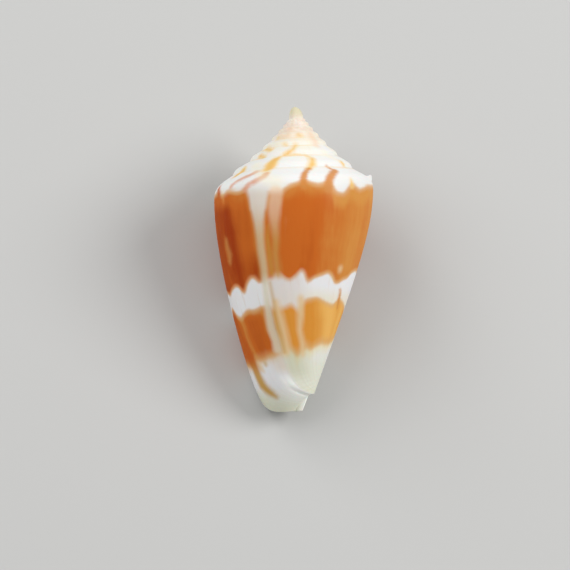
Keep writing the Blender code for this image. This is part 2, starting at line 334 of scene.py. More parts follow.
# Edges of the two bands, as (right of the axis, below the apex) seen from above, in mm
UPPER_BAND_TOP = (
    (-11.7, 13.2), (-10.9, 13.1), (-10.2, 12.8), (-9.0, 12.8), (-8.3, 12.6), (-7.5, 12.4), (-6.9, 12.7),
    (-2.4, 12.9), (-1.9, 12.3), (-1.0, 11.9), (0.2, 11.4), (0.9, 11.2), (1.7, 11.5), (2.8, 11.8),
    (3.8, 11.7), (4.6, 11.1), (5.2, 11.6), (5.7, 12.8), (6.9, 13.0), (7.4, 12.5), (7.8, 11.8),
    (8.3, 11.6), (9.2, 12.3), (10.0, 12.3), (10.6, 11.8), (11.0, 12.0),
)
UPPER_BAND_FOOT = (
    (-10.0, 27.8), (-9.7, 26.9), (-9.2, 26.2), (-8.6, 26.5), (-7.9, 27.5), (-7.5, 26.2), (-6.9, 25.2),
    (-6.3, 25.2), (-5.7, 26.0), (-4.2, 25.4), (-3.8, 25.8), (-3.1, 24.7), (-2.7, 24.6), (-2.0, 25.2),
    (-1.3, 25.6), (-0.7, 25.3), (-0.1, 24.8), (0.6, 24.1), (1.0, 24.4), (1.6, 26.0), (2.2, 25.4),
    (3.0, 24.9), (4.0, 24.5), (4.7, 24.3), (5.2, 24.8), (5.7, 26.0), (6.2, 25.8), (6.9, 25.4),
    (7.4, 25.2), (8.1, 24.5), (8.8, 24.0),
)
LOWER_BAND_TOP = (
    (-9.6, 30.0), (-8.9, 31.1), (-8.3, 31.4), (-7.8, 30.6), (-7.3, 30.1), (-6.2, 30.4), (-5.5, 29.8),
    (-4.9, 29.7), (-2.0, 29.9), (-1.5, 29.4), (-1.0, 29.2), (-0.3, 29.5), (0.4, 30.2), (1.0, 28.9),
    (1.5, 28.5), (3.0, 28.5), (3.9, 28.7), (4.6, 29.2), (5.4, 29.4), (5.9, 29.0), (6.2, 28.6), (6.5, 28.8),
    (6.9, 29.6), (7.1, 30.4),
)
LOWER_BAND_FOOT = (
    (-7.3, 38.0), (-6.6, 37.6), (-6.2, 37.1), (-5.2, 36.9), (-4.2, 36.5), (-3.6, 36.2), (-1.6, 35.2),
    (-0.6, 35.6), (0.2, 36.4), (0.8, 35.6), (1.5, 35.2), (2.1, 35.4), (2.8, 34.8), (3.7, 34.5), (4.9, 34.5),
)

# For each band: its edges with their depths on the hidden side, in mm, and the softness of the edges
BANDS = {
    "upper": (((UPPER_BAND_TOP, 13.6), (UPPER_BAND_FOOT, 27.4)), (0.00072, 0.00060)),
    "lower": (((LOWER_BAND_TOP, 31.2), (LOWER_BAND_FOOT, 37.8)), (0.00080, 0.00130)),
}

# Turns over which the upper band begins, and over which an edge goes over to the hidden side's law
BAND_START = (-1.15, -0.90)
TO_HIDDEN = 0.03

# Flames on the ramps' hidden side: the turns between which they lie on the last whorl. Then the least
# and most that is drawn for each one's slant and bend, its width in mm, its middle as a share of the
# ramp, and the gap to the next, and how fast they get narrower up the spire
HIDDEN_SIDE = (-0.54, -0.97)
FLAME_SEED = 11
FLAME_SLANTS_AND_BENDS = ((0.005, -0.014), (0.035, 0.014))
FLAME_WIDTHS = (0.35, 0.95)
FLAME_MIDDLES = (0.4, 0.7)
FLAME_GAPS = (0.04, 0.13)
FLAME_NARROWING = 0.2

# Steps round the shell, each way and in turns, over which the bands' edges are blurred
BLUR_STEPS = 3
BLUR_STEP = 0.003

# How dark (towards -1) or light (towards 1) the bands grew, turn by turn
TONES = (
    (-1.00, 0.1), (-0.90, 0.3), (-0.82, -0.3), (-0.74, 0.2), (-0.66, 0.5), (-0.58, 0.1), (-0.52, 0.5),
    (-0.47, 0.60), (-0.42, 0.60), (-0.395, 0.68), (-0.37, 0.70), (-0.357, 0.58), (-0.343, 0.41),
    (-0.332, 0.38), (-0.321, 0.36), (-0.311, 0.42), (-0.297, 0.37), (-0.283, 0.15), (-0.25, 0.0),
    (-0.20, 0.0), (-0.175, 0.0), (-0.165, -0.33), (-0.15, -0.28), (-0.135, -0.28), (-0.12, -0.31),
    (-0.108, -0.40), (-0.095, -0.54), (-0.08, -0.59), (-0.06, -0.64), (-0.03, -0.70), (0.00, -0.45),
    (0.05, -0.4), (0.10, -0.5),
)


def tint(name, description, default):
    return FloatVectorProperty(name=name, description=description, default=default, subtype="COLOR")


def unit_share(name, description, default):
    return FloatProperty(name=name, description=description, default=default, min=0.0, max=1.0)


def low_height(name, description, default, most):
    return FloatProperty(
        name=name, description=description, default=default, min=0.0, max=most, precision=6,
        subtype="DISTANCE", unit="LENGTH",
    )


def watts(name, description, default):
    return FloatProperty(name=name, description=description, default=default, min=0.0, unit="POWER")


class ShellLook(bpy.types.PropertyGroup):
    columns: IntProperty(
        name="Columns", description="Columns of faces in each turn", default=240, min=40, max=260
    )
    nodule_height: low_height("Nodules", "Height of the knobs on the first whorls", 0.00005, 0.0005)
    growth_height: low_height("Growth waves", "Height of the waves along the growth lines", 0.000010, 0.0001)
    ridge_height: low_height("Base ridges", "Height of the spiral ridges near the base", 0.000011, 0.0002)
    scar_depth: low_height("Scar", "Depth of the healed chip on the left side", 0.00006, 0.0003)
    roughness: unit_share("Roughness", "Roughness of the smooth side", 0.30)
    glaze: unit_share("Glaze", "Strength of the gloss", 0.15)
    glaze_roughness: unit_share("Glaze roughness", "Softness of the gloss", 0.28)
    white: tint("White", "Ground colour", (0.80, 0.80, 0.78))
    cool_white: tint("Cool white", "Middle band", (0.79, 0.785, 0.79))
    # Painted light: near-white that brightens the new growth under the ledge at the base, where the surface
    # dips into shade
    ledge_light_white: tint("Clean white", "New growth under the ledge", (0.97, 0.98, 0.92))
    cream: tint("Cream", "Base and old growth", (0.715, 0.725, 0.58))
    # Painted shade: darker olive cream for the old growth in the groove above the ledge at the base
    shaded_cream: tint("Shaded cream", "Old growth above the ledge", (0.52, 0.51, 0.34))
    pink_white: tint("Pink white", "Pale growth at the shoulder", (0.71, 0.67, 0.60))
    rose_white: tint("Rose white", "Middle band beside the old lip", (0.69, 0.635, 0.60))
    warm_white: tint("Warm white", "Pale growth lower down", (0.75, 0.70, 0.57))
    cream_pink: tint("Cream pink", "Half faded growth at the shoulder", (0.71, 0.44, 0.28))
    pale_peach: tint("Pale peach", "Faint growth at the shoulder", (0.85, 0.66, 0.50))
    faded_orange: tint("Faded orange", "Half faded growth in the upper band", (0.55, 0.28, 0.07))
    red_brown: tint("Red brown", "Growth line beside the lower band", (0.52, 0.11, 0.015))
    tan_white: tint("Tan white", "Half faded growth", (0.735, 0.53, 0.295))
    blush: tint("Blush", "Warm patches on the spire", (0.82, 0.56, 0.36))
    ivory: tint("Ivory", "Clouds on the spire", (0.86, 0.79, 0.56))
    yellow: tint("Yellow", "Faded foot of the lower band", (0.78, 0.66, 0.34))
    beige: tint("Beige", "Worn growth lines", (0.62, 0.455, 0.265))
    orange: tint("Orange", "Bands", (0.560, 0.132, 0.0165))
    red: tint("Dark red", "Darkest growth of the bands", (0.345, 0.043, 0.004))
    tan: tint("Tan", "Lightest growth of the bands", (0.635, 0.275, 0.060))
    amber: tint("Amber", "Lower band, older growth", (0.76, 0.355, 0.052))
    light_amber: tint("Light amber", "Lower band where it is lightest", (0.86, 0.51, 0.15))
    ochre: tint("Ochre", "Middle of the marks on the spire", (0.79, 0.45, 0.08))
    light_ochre: tint("Light ochre", "Marks on the spire where they are thin", (0.84, 0.60, 0.26))
    rose: tint("Rose", "Slanting lines on the ramp", (0.70, 0.35, 0.23))
    flame: tint("Flame", "Red-brown marks on the ramp", (0.61, 0.245, 0.060))
    peach: tint("Peach", "Upper spire", (0.77, 0.625, 0.52))
    tip: tint("Tip", "First whorl", (0.66, 0.61, 0.42))
    brown: tint("Brown", "Fine growth lines", (0.54, 0.30, 0.055))
    inside: tint("Inside", "Glazed inside", (0.78, 0.75, 0.77))


class StudioLook(bpy.types.PropertyGroup):
    floor_colour: tint("Floor", "Plain floor", (0.52, 0.52, 0.51))
    key_power: watts("Key", "Power of the main light", 2.22)
    fill_power: watts("Fill", "Power of the left light", 0.97)
    back_power: watts("Top", "Power of the light over the apex", 0.78)
    sky: unit_share("Surround", "Strength of the even light all round", 0.42)


def smooth(value):
    """Rises from 0 to 1 with level ends."""
    value = np.clip(value, 0.0, 1.0)
    return value * value * (3.0 - 2.0 * value)


def fade(value, low, high):
    """Goes smoothly from 0 to 1 as value passes from low to high."""
    return smooth((value - low) / (high - low))


def mix(low, high, share):
    """Goes evenly from low to high as share goes from 0 to 1."""
    return low + (high - low) * share


def widest_radius(turn):
    """Radius of the whorl where it is widest. Growth slows over the last half turn."""
    since = turn - RIGHT_TURN
    slower = SLOWER_GROWTH * np.maximum(since, 0.0) ** 2
    blunter = BLUNT_APEX * np.minimum(since, 0.0) ** 2
    return WIDEST_RADIUS * np.exp(RADIUS_GROWTH * since - slower + blunter)


def shoulder_depth(turn):
    return SHOULDER_DEPTH * np.exp(SHOULDER_GROWTH * turn - SHARP_APEX * turn**2)


def widest_depth(turn):
    return WIDEST_TO_SHOULDER * shoulder_depth(turn)


def end_depth(turn):
    return END_DEPTH * np.exp(END_GROWTH * (turn - RIGHT_TURN))


def depth_at(turn, share):
    return mix(widest_depth(turn), end_depth(turn), share)


def share_at(turn, depth):
    return (depth - widest_depth(turn)) / (end_depth(turn) - widest_depth(turn))


def lag(share):
    """How many turns a growth line has fallen behind at this share of the side."""
    share = np.clip(share, 0.0, 1.0)
    return LAG_GENTLE * share**GENTLE_POWER + LAG_STEEP * share**STEEP_POWER


def pillar_radius(depth):
    above = PILLAR_FOOT - depth
    return PILLAR_TIP_RADIUS + PILLAR_FLARE * (1.0 - np.exp(-above / PILLAR_SPREAD))


def side_radius(turn, share, grown):
    """Radius of the side of a whorl. The growth line through the place was laid down at turn grown."""
    lateness = fade(turn, RIGHT_TURN, LEFT_TURN)
    closing = mix(*CLOSING, lateness)
    fullness = mix(*FULLNESS, lateness)
    below = np.maximum(share, 0.0)
    taper = closing * (np.sqrt(below**2 + fullness**2) - fullness)
    above = np.minimum(share, 0.0) / share_at(turn, shoulder_depth(turn))
    neck = (1.0 - SHOULDER_SHARE) * above**2
    bulge = LATE_BULGE * lateness * np.sin(math.pi * np.minimum(below, 1.0) ** BULGE_POWER) ** 2
    plain = widest_radius(turn) * (1.0 - taper - neck) + bulge

    reach = smooth(share / PILLAR_TOP_SHARE)
    pillar = reach * pillar_radius(depth_at(turn, share))
    proud = 0.5 * (plain - pillar + np.hypot(plain - pillar, reach * PILLAR_BLEND))
    rounding = np.clip((share - NEW_ROUNDING) / (1.0 - NEW_ROUNDING), 0.0, 1.0)
    tucked = 1.0 - np.sqrt(1.0 - rounding**3)
    newness = smooth((grown - REST_TURN) / mix(*NEW_SPREAD, fade(share, *NEW_SPREAD_SHARES)))
    proud = proud * (1.0 - tucked * newness)
    edge = REST_EDGE * np.exp(-np.abs(REST_TURN - grown) / REST_FADE)
    edge = edge * fade(share, *REST_EDGE_START) * (1.0 - REST_EDGE_LOSS * fade(share, *REST_EDGE_LOST))
    return pillar + proud + np.where(grown <= REST_TURN, edge, 0.0)


def shoulder_law(turn):
    """Radius and depth of the shoulder's corner."""
    return np.array([SHOULDER_SHARE * widest_radius(turn), shoulder_depth(turn)])


def foot_law(turn):
    """Radius and depth where the next whorl's seam lies on this one."""
    radius, depth = shoulder_law(turn)
    depth = depth + STEP_FACTOR * np.sqrt(radius)
    return np.array([side_radius(turn, share_at(turn, depth), turn), depth])


def start(turn):
    """The first whorl widens from nothing at the apex."""
    return np.clip((turn - FIRST_TURN) / FIRST_WHORL_START, 0.0, 1.0)


def foot(turn):
    return mix(foot_law(turn - 1.0), foot_law(turn), start(turn))


def seam(turn):
    """Radius and depth of the seam at the whorl's inner edge, which is the foot of the whorl before."""
    return np.where(turn < FIRST_TURN + 1.0, foot_law(turn - 1.0), foot(turn - 1.0))


# Rows of places on the surface, with their turns and depths, when they grew and how far along a section
Places = namedtuple("Places", "points turn depth grown along")


def rows(stations):
    """Places for a list of (turn, radius, depth, grown, along), one row for each."""
    columns = zip(*[np.broadcast_arrays(*station) for station in stations])
    turn, radius, depth, grown, along = (np.stack(column) for column in columns)
    angle = math.pi - 2.0 * math.pi * turn
    aside = TIP_ASIDE * np.exp(-depth / TIP_FADE)
    points = np.stack([radius * np.cos(angle) - aside, radius * np.sin(angle), -depth], -1)
    return Places(points, turn, depth, grown, along)


def upper_section(turn):
    """(radius, depth, along) of the stations from the seam over the ramp and the shoulder to the foot."""
    inner, outer = seam(turn), foot(turn)
    corner = mix(inner, shoulder_law(turn), start(turn))
    lateness = fade(turn, RIGHT_TURN, LEFT_TURN)
    on_ramp, on_face = (mix(early, last, lateness) for early, last in zip(ROUND_EARLY, ROUND_LAST))
    bend_in, bend_out = mix(corner, inner, on_ramp), mix(corner, outer, on_face)

    stations = []
    for i in range(RAMP_STATIONS):
        share = i / RAMP_STATIONS
        stations.append((*mix(inner, bend_in, share), share * (1.0 - on_ramp)))
    knob = KNOB_HEIGHT * np.exp(-(((turn - KNOB_TURN) / KNOB_WIDTH) ** 2))
    for i in range(ROUND_STATIONS + 1):
        share = i / ROUND_STATIONS
        radius, depth = mix(mix(bend_in, corner, share), mix(corner, bend_out, share), share)
        raised = knob * math.sin(math.pi * share)
        along = mix(1.0 - on_ramp, 1.0 + on_face, share)
        stations.append((radius + 0.5 * raised, depth - raised, along))
    stations.append((*outer, 2.0))
    return stations


def side_shares():
    """Shares of the side, crowded towards the front end, where growth lines sweep back."""
    return [1.0 - (1.0 - i / SIDE_STATIONS) ** SIDE_CROWDING for i in range(1, SIDE_STATIONS + 1)]


def ceiling_share(turn):
    """Share of the side, above the widest place, where the next whorl's hollow begins."""
    depth = foot_law(turn)[1] + CEILING * np.exp(RADIUS_GROWTH * turn)
    return share_at(turn, depth)


def side_stations(turn):
    """Stations along one growth line, from the foot to the front end."""
    radius, depth = foot(turn)
    stations = [(turn, radius, depth, turn, 2.0)]
    for share in [ceiling_share(turn)] + side_shares():
        share = share + 0.0 * turn
        place = turn - lag(share)
        radius = side_radius(place, share, turn)
        stations.append((place, radius, depth_at(place, share), turn, 2.0 + np.maximum(share, 0.0)))
    return stations


def end_turn(turn):
    """Where round the axis the growth line of this turn meets the pillar."""
    return turn - lag(1.0)


def wall(turn):
    """Thickness of the wall, which thins at the lip."""
    full = WALL * np.exp(RADIUS_GROWTH * np.minimum(turn, 0.0))
    return mix(LIP_WALL, full, smooth((LIP_TURN - turn) / LIP_THINNING))


def upper_rows(turns):
    return rows([(turns, radius, depth, turns, along) for radius, depth, along in upper_section(turns)])


def side_rows(turns):
    return rows(side_stations(turns))


def pillar_fractions():
    """Shares of the way from the front end down to the rim of the tip. The last but one is the floor."""
    rim = end_depth(end_turn(LIP_TURN))
    first = end_depth(end_turn(LIP_TURN - 1.0))
    floor = (rim - FLOOR - first) / (rim - first)
    count = RAMP_STATIONS + ROUND_STATIONS + 2
    return [floor * i / count for i in range(count + 1)] + [1.0]


def pillar_rows(turns):
    """From each growth line's front end down the pillar to the tip."""
    rim = end_depth(end_turn(LIP_TURN))
    turns_there = end_turn(turns)
    first = end_depth(turns_there)
    stations = [side_stations(turns)[-1]]
    for fraction in pillar_fractions()[1:]:
        depth = mix(first, rim, fraction)
        stations.append((turns_there, pillar_radius(depth), depth, turns, 3.0 + fraction))
    tip = 0.0 * turns
    stations.append((turns_there, tip, tip + LENGTH, turns, 4.0))
    return rows(stations)


def inner_wall_rows(turns):
    """The hollow's side of the inner wall, which the animal thins out of sight of the aperture."""
    before = turns - 1.0
    turns_there = end_turn(before)
    first = end_depth(turns_there)
    floor = end_depth(end_turn(turns)) - FLOOR
    fractions = pillar_fractions()[1:-1]
    thinned = THINNED * np.exp(RADIUS_GROWTH * turns) * smooth((LIP_TURN - turns) / THINNED_FROM)
    ceiling, *side = side_stations(before)[1:]
    stations = [ceiling]
    for share, (turn, radius, depth, grown, along) in zip(side_shares(), side):
        stations.append((turn, radius - thinned * math.sin(math.pi * share), depth, grown, along))
    for fraction in fractions:
        depth = mix(first, floor, fraction / fractions[-1])
        stations.append((turns_there, pillar_radius(depth), depth, before, 3.0 + fraction))
    return rows(stations)


def outer_wall_rows(turns):
    """The hollow's side of the outer wall, a wall's thickness inside each station of the surface."""
    thick = wall(turns)
    turn, radius, depth, _, _ = side_stations(turns - 1.0)[1]
    stations = [(turn, radius, depth, turns, 0.0)]
    upper = upper_section(turns)
    for i, (radius, depth, along) in enumerate(upper[1:], start=1):
        slope = 0.5 * math.pi * i / (len(upper) - 1)
        inward = mix(*CEILING_INWARD, math.sin(slope))
        under = mix(*CEILING_UNDER, 1.0 - math.cos(slope))
        stations.append((turns, radius - inward * thick, depth + under * CEILING, turns, along))
    for share, station in zip([None] + side_shares(), side_stations(turns)[1:]):
        turn, radius, depth, grown, along = station
        share = ceiling_share(turns) if share is None else share
        raised = depth - FLOOR * fade(share, 0.5, 1.0)
        pillar = pillar_radius(raised)
        gap = np.maximum(radius - thick - pillar, NARROWEST_SHARE * (radius - pillar))
        stations.append((turn, pillar + gap * fade(share, 1.0, HOLLOW_CLOSES), raised, grown, along))
    return rows(stations)


def lip_rows(turns):
    """The edge of the lip, rounded, from the surface to the hollow."""
    whole = zip(upper_rows(turns), side_rows(turns))
    outer, *edge = (np.concatenate([upper, side[1:]])[:, -1] for upper, side in whole)
    inner = outer_wall_rows(turns).points[:, -1]
    middle = 0.5 * (outer + inner)
    ahead = np.stack([middle[:, 1], -middle[:, 0], 0.0 * middle[:, 0]], -1)
    ahead /= np.linalg.norm(ahead, axis=1, keepdims=True)
    middle = middle + LIP_ROUND * ahead
    middle[0], middle[-1] = outer[0], outer[-1]
    return Places(np.stack([outer, middle, inner]), *(np.stack([values] * 3) for values in edge))


def dome_rows(turns):
    """The tip of the apex, over the ring that the first seam makes."""
    radius, depth = seam(turns)
    stations = []
    for ring in range(DOME_RINGS + 1):
        angle = 0.5 * math.pi * ring / DOME_RINGS
        stations.append((turns, radius * math.cos(angle), depth * (1.0 - math.sin(angle)), turns, 0.0))
    return rows(stations)


def blind_end(outer_wall, inner_wall):
    """Closes the hollow where it ends inside the shell."""
    walls = zip(outer_wall, inner_wall)
    return Places(*(np.stack([outer[:, 0], inner[:, 0]]) for outer, inner in walls))


def shell_patches(columns):
    """(places, whether they line the hollow) of the patches, whose edges meet point for point."""
    step = 1.0 / columns
    all_turns = LIP_TURN - step * np.arange(WHORLS * columns, -1, -1)
    last_whorl = all_turns[-columns - 1 :]
    first_whorl = all_turns[: columns + 1]
    back = np.linspace(1.0, 0.0, HOLLOW_COLUMNS + 1) ** HOLLOW_CROWDING
    hollow = LIP_TURN - HOLLOW_TURNS * back
    outer_wall, inner_wall = outer_wall_rows(hollow), inner_wall_rows(hollow)
    return [
        (dome_rows(first_whorl), False),
        (upper_rows(all_turns), False),
        (side_rows(last_whorl), False),
        (pillar_rows(last_whorl), False),
        (lip_rows(hollow), False),
        (outer_wall, True),
        (inner_wall, True),
        (blind_end(outer_wall, inner_wall), True),
    ]


def waves(value, counts):
    """An uneven wave, the same each time, as a sum of sines with these counts in each unit."""
    return sum(
        np.sin(2.0 * math.pi * (count * value + 0.37 * i * i)) for i, count in enumerate(counts)
    ) / len(counts)


def relief(look, turn, depth, grown, along, scar):
    """Height of the low relief over the plain surface."""
    size = widest_radius(turn) / WIDEST_RADIUS
    nodules = np.exp(-(((along - 1.0) / NODULE_WIDTH) ** 2)) * np.cos(2.0 * math.pi * NODULES * turn)
    height = look.nodule_height * (1.0 - fade(turn, *NODULES_FADE)) * nodules
    height = height + look.growth_height * size * waves(grown, GROWTH_WAVES)
    height = height + UNEVEN * size * waves(turn + 12.0 * depth, UNEVEN_WAVES) * fade(along, 2.0, 3.0)
    ridges = fade(along, *RIDGES_START) * fade(along, *RIDGES_END) * np.sin(2.0 * math.pi * RIDGES * along)
    ridges = ridges * np.where(grown > REST_TURN, NEW_RIDGES, 1.0)
    uneven = 1.0 + 0.5 * waves(turn + 40.0 * depth, RIDGE_WAVES)
    return height + look.ridge_height * uneven * ridges - look.scar_depth * smooth(scar + SCAR_EDGE)


def seen_axes():
    """Right, up and towards the viewer, for the view from above, in the shell's frame."""
    right = np.array([1.0, 0.0, 0.0])
    up = np.array([0.0, -math.sin(VIEW_LEAN), math.cos(VIEW_LEAN)])
    return right, up, np.cross(right, up)


class Picture:
    """The outside of the shell as it is seen from above."""

    def __init__(self, points):
        right, up, towards = seen_axes()
        self.points = points
        self.across = points @ right
        self.down = -(points @ up)
        self.near = points @ towards

    def place(self, across, down):
        """The point of the surface seen at this place, given in mm from the apex."""
        gap = np.hypot(self.across - across * MM, self.down - down * MM)
        found = np.where(gap < max(NEAREST, gap.min() + 1e-9))[0]
        return self.points[found[np.argmax(self.near[found])]]

    def runs(self, marks):
        return [[(self.place(across, down), width) for across, down, width in mark] for mark in marks]

    def edge(self, points):
        """(turns, depths) along an edge of a band, in order of turn, from -0.75 to 0.25."""
        places = np.array([self.place(*point) for point in points])
        turns = (math.pi - np.arctan2(places[:, 1], places[:, 0])) / (2.0 * math.pi)
        turns = np.where(turns > 0.25, turns - 1.0, turns)
        order = np.argsort(turns)
        return turns[order], -places[order, 2]


def inside_runs(points, runs):
    """How far inside the nearest run each point lies, in mm. It is negative outside."""
    field = np.full(len(points), FAR_OUTSIDE)
    for ends in runs:
        for (a, a_width), (b, b_width) in zip(ends, ends[1:]):
            run = b - a
            share = np.clip((points - a) @ run / max(run @ run, 1e-12), 0.0, 1.0)
            gap = np.linalg.norm(points - a - share[:, None] * run, axis=1) / MM
            field = np.maximum(field, 0.5 * mix(a_width, b_width, share) - gap)
    return field


def edge_depth(edge, turn):
    """Depth of a band's edge at each turn: as seen on the back, and wavy on the hidden side."""
    turns, depths, level = edge
    wavy = 1.0 + EDGE_WAVE_SHARE * waves(turn, EDGE_WAVES)
    hidden = level * MM * np.exp(END_GROWTH * turn) * wavy
    beyond = np.maximum(turns[0] - turn, turn - turns[-1])
    return mix(np.interp(turn, turns, depths), hidden, fade(beyond, 0.0, TO_HIDDEN))


def band_cover(edges, softness, turn, depth):
    """How fully a band covers each point, between edges that are blurred along and round the shell."""
    cover, total = 0.0, 0.0
    for i in range(-BLUR_STEPS, BLUR_STEPS + 1):
        top, end = (edge_depth(edge, turn + i * BLUR_STEP) for edge in edges)
        within = np.minimum((depth - top) / softness[0], (end - depth) / softness[1])
        weight = BLUR_STEPS + 1 - abs(i)
        cover = cover + weight * smooth(0.5 + 0.5 * within)
        total += weight
    return cover / total


def ramp_point(turn, share):
    """A point between the seam, at share 0, and the shoulder, at share 1."""
    turn = np.array([turn])
    radius, depth = mix(seam(turn), shoulder_law(turn), share)
    return rows([(turn, radius, depth, turn, 0.0)]).points[0, 0]


def hidden_runs(whorls):
    """Flames down the ramps of these whorls, on the side that the view from above doesn't show."""
    runs = []
    for whorl in whorls:
        generator = np.random.default_rng(FLAME_SEED + whorl)
        turn, last = (edge - whorl for edge in HIDDEN_SIDE)
        while turn > last:
            slant, bend = generator.uniform(*FLAME_SLANTS_AND_BENDS)
            width = generator.uniform(*FLAME_WIDTHS) * math.exp(-FLAME_NARROWING * whorl)
            middle = generator.uniform(*FLAME_MIDDLES)
            runs.append([
                (ramp_point(turn + slant, 0.10), 0.4 * width),
                (ramp_point(turn + 0.5 * slant + bend, middle), 0.8 * width),
                (ramp_point(turn, 1.15), 1.3 * width),
            ])
            turn -= generator.uniform(*FLAME_GAPS)
    return runs


def shell_numbers(points, turn, depth, grown, along, inside):
    """The numbers that the relief and the material read at each point."""
    picture = Picture(points[~inside])
    runs = {name: picture.runs(marks) for name, marks in MARKS.items()}

    # On the hidden side, the flames of the last whorl are red and those up the spire are ochre
    runs["ochre"] += hidden_runs(range(1, 6))
    runs["red"] += hidden_runs([0])
    numbers = {name: inside_runs(points, ends) for name, ends in runs.items()}
    edges = {}
    for name, (outlines, softness) in BANDS.items():
        edges[name] = [(*picture.edge(outline), level) for outline, level in outlines]
        numbers[name] = band_cover(edges[name], softness, turn, depth)
    numbers["upper"] *= fade(turn, *BAND_START)
    numbers["under_top"] = (depth - edge_depth(edges["upper"][0], turn)) / MM
    numbers["under_foot"] = (depth - edge_depth(edges["lower"][1], turn)) / MM
    numbers["tone"] = np.interp(grown, *zip(*TONES))
    numbers.update(turn=turn, grown=grown, depth=depth / MM, along=along, inside=inside, spare=0.0 * depth)
    return numbers


def joined(patches):
    """Points, faces and fields of all the patches, one after another."""
    points, faces, fields = [], [], []
    count = 0
    for places, inside in patches:
        height, width = places.turn.shape
        index = count + np.arange(height * width).reshape(height, width)
        corners = (index[:-1, :-1], index[:-1, 1:], index[1:, 1:], index[1:, :-1])
        faces.append(np.stack([corner.ravel() for corner in corners], -1))
        points.append(places.points.reshape(-1, 3))
        fields.append([*(values.ravel() for values in places[1:]), np.full(height * width, inside)])
        count += height * width
    names = (*Places._fields[1:], "inside")
    fields = {name: np.concatenate(values) for name, values in zip(names, zip(*fields))}
    return np.concatenate(points), np.concatenate(faces), fields


def shell_mesh(look):
    """The closed fine surface of the shell, in its own frame, with what the material reads."""
    points, faces, fields = joined(shell_patches(look.columns))
    numbers = shell_numbers(points, **fields)
    mesh = bpy.data.meshes.new("cone_shell_surface")
    mesh.from_pydata(points.tolist(), [], faces.tolist())
    for name, parts in VECTORS.items():
        vectors = np.stack([numbers[part] for part in parts], -1)[faces.ravel()]
        attribute = mesh.attributes.new(name, "FLOAT_VECTOR", "CORNER")
        attribute.data.foreach_set("vector", vectors.astype(np.float32).ravel())
    inside = fields.pop("inside")
    heights = np.where(inside, 0.0, relief(look, scar=numbers["scar"], **fields))
    raised = mesh.attributes.new("raised", "FLOAT", "POINT")
    raised.data.foreach_set("value", heights.astype(np.float32))

    welded = bmesh.new()
    welded.from_mesh(mesh)
    bmesh.ops.remove_doubles(welded, verts=welded.verts, dist=WELD)
    bmesh.ops.dissolve_degenerate(welded, edges=welded.edges, dist=WELD)
    bmesh.ops.recalc_face_normals(welded, faces=welded.faces)
    layer = welded.verts.layers.float["raised"]
    for vertex in welded.verts:
        vertex.co += vertex.normal * vertex[layer]
    welded.to_mesh(mesh)
    welded.free()
    mesh.attributes.remove(mesh.attributes["raised"])
    mesh.shade_smooth()
    return mesh


def lying():
    """Turns the shell's frame onto its underside, apex towards +Y."""
    down = math.pi - 2.0 * math.pi * DOWN_TURN
    tipped = Matrix.Rotation(LEAN - 0.5 * math.pi, 4, "X")
    return tipped @ Matrix.Rotation(0.5 * math.pi - down, 4, "Z")


class Value:
    """A number or vector in a material. Sums and products of values add their own nodes."""

    def __init__(self, shader, socket):
        self.shader = shader
        self.socket = socket

    def maths(self, operation, *others):
        settings = {"operation": operation}
        return self.shader.add("ShaderNodeMath", settings, dict(enumerate(others)))

    def __add__(self, other):
        return self.maths("ADD", self, other)

    def __sub__(self, other):
        return self.maths("SUBTRACT", self, other)

    def __mul__(self, other):
        return self.maths("MULTIPLY", self, other)

    def __radd__(self, other):
        return self.maths("ADD", other, self)

    def __rsub__(self, other):
        return self.maths("SUBTRACT", other, self)

    def __rmul__(self, other):
        return self.maths("MULTIPLY", other, self)


